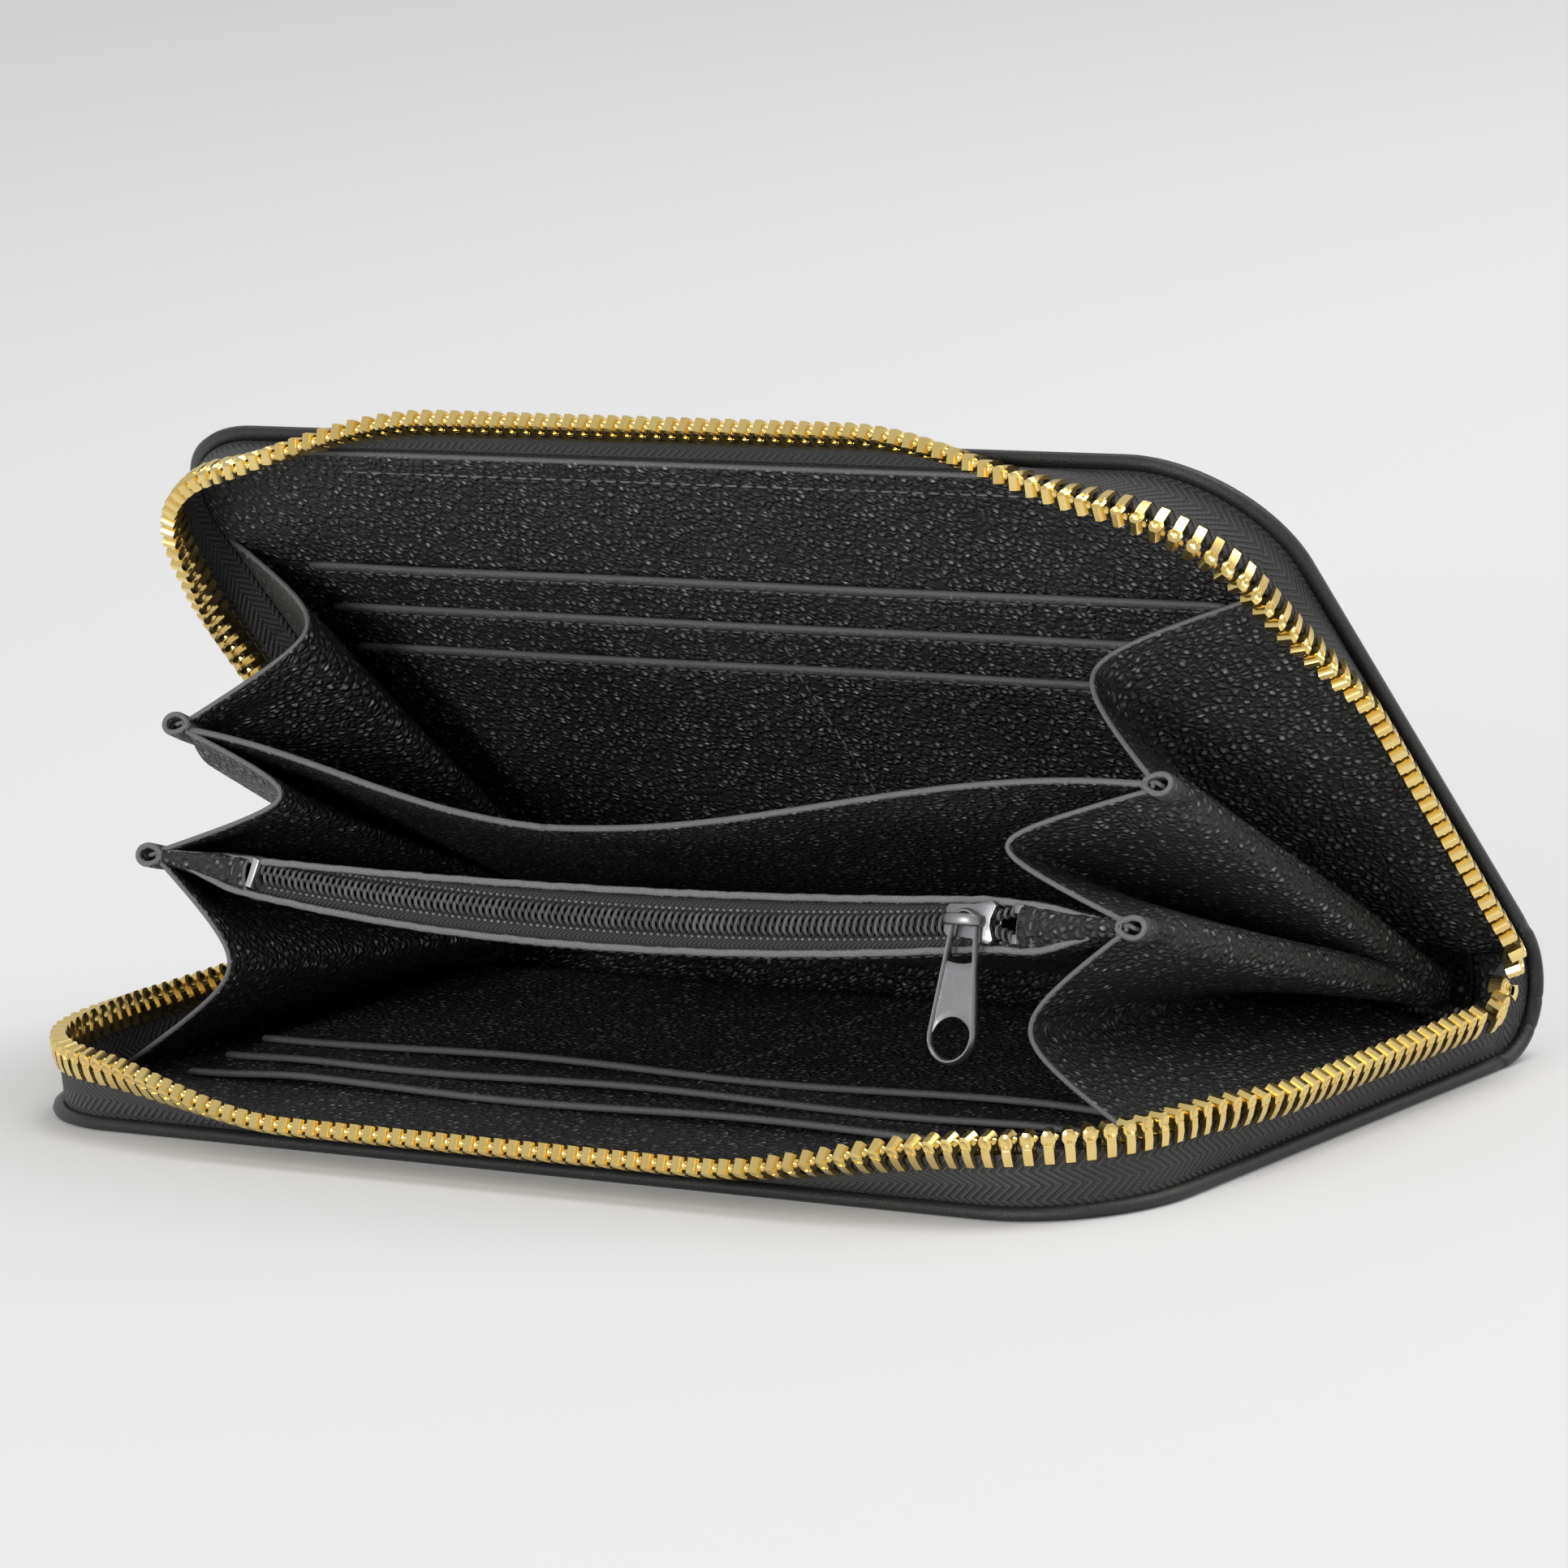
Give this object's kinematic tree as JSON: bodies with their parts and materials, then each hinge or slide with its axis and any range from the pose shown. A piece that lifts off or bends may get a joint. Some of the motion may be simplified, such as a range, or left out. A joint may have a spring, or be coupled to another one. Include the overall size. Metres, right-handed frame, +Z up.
{
  "type": "zip around wallet",
  "caption": "Long leather zip around wallet standing open, with card pockets, a zipped coin pocket and gusseted note compartments.",
  "frame": {"origin": "on the surface under the wallet, below the middle of its bounding box", "axes": "+X along the spine to the right, -Y towards the open front, +Z up from the lower cover"},
  "size_m": [0.2, 0.1125, 0.0957],
  "materials": {
    "pebbled_leather": "black pebbled leather with a soft sheen",
    "lining_leather": "black pebbled lining leather, semi-matt",
    "stiffener_board": "grey fibre board, hidden inside the covers",
    "zip_tape_cloth": "black woven herringbone zip tape",
    "polished_brass": "polished gold-coloured brass",
    "coil_filament": "dark grey glossy filament coil",
    "satin_gunmetal": "satin grey plated metal",
    "bright_steel": "bright silver clip"
  },
  "bodies": {
    "lower_cover": {"lower_outer_leather": "pebbled_leather", "lower_stiffener_board": "stiffener_board", "lower_lining_panel": "lining_leather", "lower_slip_pocket": "lining_leather", "lower_card_pocket_rear": "lining_leather", "lower_card_pocket_front": "lining_leather", "lower_zip_tape": "zip_tape_cloth", "lower_zip_teeth": "polished_brass", "lower_top_stop": "polished_brass", "spine_outer_leather": "pebbled_leather", "spine_lining": "lining_leather", "left_gusset_lower_bay": "lining_leather", "right_gusset_lower_bay": "lining_leather"},
    "coin_pocket": {"coin_pocket_left_fold": "lining_leather", "coin_pocket_right_fold": "lining_leather", "coin_pocket_lower_panel": "lining_leather", "coin_pocket_upper_panel": "lining_leather", "coin_pocket_left_tab": "lining_leather", "coin_pocket_right_tab": "lining_leather", "coin_zip_lower_tape": "zip_tape_cloth", "coin_zip_upper_tape": "zip_tape_cloth", "coin_zip_lower_coil": "coil_filament", "coin_zip_upper_coil": "coil_filament", "coin_zip_bottom_stop": "bright_steel", "coin_zip_top_stops": "bright_steel", "left_gusset_middle_bay": "lining_leather", "right_gusset_middle_bay": "lining_leather"},
    "centre_divider": {"divider_left_fold": "lining_leather", "divider_right_fold": "lining_leather", "divider_lower_leather": "lining_leather", "divider_upper_leather": "lining_leather"},
    "upper_cover": {"upper_outer_leather": "pebbled_leather", "upper_stiffener_board": "stiffener_board", "upper_lining_panel": "lining_leather", "upper_slip_pocket": "lining_leather", "upper_card_pocket_rear": "lining_leather", "upper_card_pocket_front": "lining_leather", "upper_zip_tape": "zip_tape_cloth", "upper_zip_teeth": "polished_brass", "upper_top_stop": "polished_brass", "left_gusset_upper_bay": "lining_leather", "right_gusset_upper_bay": "lining_leather"},
    "lower_zip_front": {"lower_front_zip_tape": "zip_tape_cloth", "lower_front_zip_teeth": "polished_brass"},
    "upper_zip_front": {"upper_front_zip_tape": "zip_tape_cloth", "upper_front_zip_teeth": "polished_brass"},
    "lower_left_zip": {"lower_left_zip_tape": "zip_tape_cloth", "lower_left_zip_teeth": "polished_brass"},
    "lower_right_zip": {"lower_right_zip_tape": "zip_tape_cloth", "lower_right_zip_teeth": "polished_brass"},
    "upper_left_zip": {"upper_left_zip_tape": "zip_tape_cloth", "upper_left_zip_teeth": "polished_brass"},
    "upper_right_zip": {"upper_right_zip_tape": "zip_tape_cloth", "upper_right_zip_teeth": "polished_brass"},
    "coin_slider": {"coin_zip_slider": "satin_gunmetal"},
    "coin_pull": {"coin_zip_pull": "satin_gunmetal"},
    "zip_ends": {"zip_bottom_stop": "polished_brass"},
    "main_slider": {"main_zip_slider": "polished_brass"},
    "main_pull": {"main_zip_pull": "polished_brass"}
  },
  "joints": [
    {"name": "upper_cover_fold", "type": "hinge", "parent": "centre_divider", "child": "upper_cover", "pos_m": [0, 0.04526, 0.011], "axis": [-1, 0, 0], "range_deg": [-23, 4.4], "deforming": ["left_gusset_upper_bay", "right_gusset_upper_bay", "spine_outer_leather", "spine_lining"]},
    {"name": "coin_pocket_fold", "type": "hinge", "parent": "lower_cover", "child": "coin_pocket", "pos_m": [0, 0.04526, 0.011], "axis": [-1, 0, 0], "range_deg": [-19.1, 3.8], "deforming": ["left_gusset_lower_bay", "right_gusset_lower_bay"]},
    {"name": "centre_divider_fold", "type": "hinge", "parent": "coin_pocket", "child": "centre_divider", "pos_m": [0, 0.04526, 0.011], "axis": [-1, 0, 0], "range_deg": [-10.1, 2], "deforming": ["left_gusset_middle_bay", "right_gusset_middle_bay"]},
    {"name": "lower_zip_front_lean", "type": "hinge", "parent": "lower_cover", "child": "lower_zip_front", "pos_m": [0, -0.04674, 0.00195], "axis": [1, 0, 0], "range_deg": [-67.1, 13], "deforming": ["lower_zip_tape", "lower_zip_teeth"]},
    {"name": "upper_zip_front_lean", "type": "hinge", "parent": "upper_cover", "child": "upper_zip_front", "pos_m": [0, -0.00425, 0.08907], "axis": [-1, 0, 0], "range_deg": [-75.1, 14.4], "deforming": ["upper_zip_tape", "upper_zip_teeth"]},
    {"name": "lower_left_zip_lean", "type": "hinge", "parent": "lower_cover", "child": "lower_left_zip", "pos_m": [-0.093, 0.00526, 0.00195], "axis": [0, -1, 0], "range_deg": [-29.1, 5.6], "deforming": ["lower_zip_tape", "lower_zip_teeth"]},
    {"name": "lower_right_zip_lean", "type": "hinge", "parent": "lower_cover", "child": "lower_right_zip", "pos_m": [0.093, 0.00526, 0.00195], "axis": [0, 1, 0], "range_deg": [-29.1, 5.6], "deforming": ["lower_zip_tape", "lower_zip_teeth"]},
    {"name": "upper_left_zip_lean", "type": "hinge", "parent": "upper_cover", "child": "upper_left_zip", "pos_m": [-0.093, 0.02776, 0.04809], "axis": [0, 0.6157, -0.788], "range_deg": [-40.1, 7.7], "deforming": ["upper_zip_tape", "upper_zip_teeth"]},
    {"name": "upper_right_zip_lean", "type": "hinge", "parent": "upper_cover", "child": "upper_right_zip", "pos_m": [0.093, 0.02776, 0.04809], "axis": [0, -0.6157, 0.788], "range_deg": [-40.1, 7.7], "deforming": ["upper_zip_tape", "upper_zip_teeth"]},
    {"name": "coin_zip_slide", "type": "slide", "parent": "coin_pocket", "child": "coin_slider", "axis": [1, 0, 0], "range_m": [-0.122, 0.004]},
    {"name": "coin_pull_swing", "type": "hinge", "parent": "coin_slider", "child": "coin_pull", "pos_m": [0.059, -0.02461, 0.03384], "axis": [0, -0.9455, 0.3256], "range_deg": [-90.1, 17.5]},
    {"name": "zip_ends_fold", "type": "hinge", "parent": "lower_cover", "child": "zip_ends", "pos_m": [0, 0.04526, 0.011], "axis": [-1, 0, 0], "range_deg": [-26.1, 5.2]},
    {"name": "main_zip_slide", "type": "slide", "parent": "zip_ends", "child": "main_slider", "axis": [0, -0.8988, 0.4384], "range_m": [0, 0.0025]},
    {"name": "main_pull_swing", "type": "hinge", "parent": "main_slider", "child": "main_pull", "pos_m": [-0.0963, 0.03762, 0.01473], "axis": [0, 0.4384, 0.8988], "range_deg": [0, 170]}
  ],
  "couplings": [
    {"joint": "coin_pocket_fold", "follows": "upper_cover_fold", "ratio": 0.82609},
    {"joint": "centre_divider_fold", "follows": "upper_cover_fold", "ratio": 0.43478},
    {"joint": "zip_ends_fold", "follows": "upper_cover_fold", "ratio": 1.1304},
    {"joint": "lower_zip_front_lean", "follows": "upper_cover_fold", "ratio": 2.913},
    {"joint": "upper_zip_front_lean", "follows": "upper_cover_fold", "ratio": 3.2609},
    {"joint": "lower_left_zip_lean", "follows": "upper_cover_fold", "ratio": 1.2609},
    {"joint": "lower_right_zip_lean", "follows": "upper_cover_fold", "ratio": 1.2609},
    {"joint": "upper_left_zip_lean", "follows": "upper_cover_fold", "ratio": 1.7391},
    {"joint": "upper_right_zip_lean", "follows": "upper_cover_fold", "ratio": 1.7391},
    {"joint": "coin_pull_swing", "follows": "upper_cover_fold", "ratio": 3.913}
  ]
}
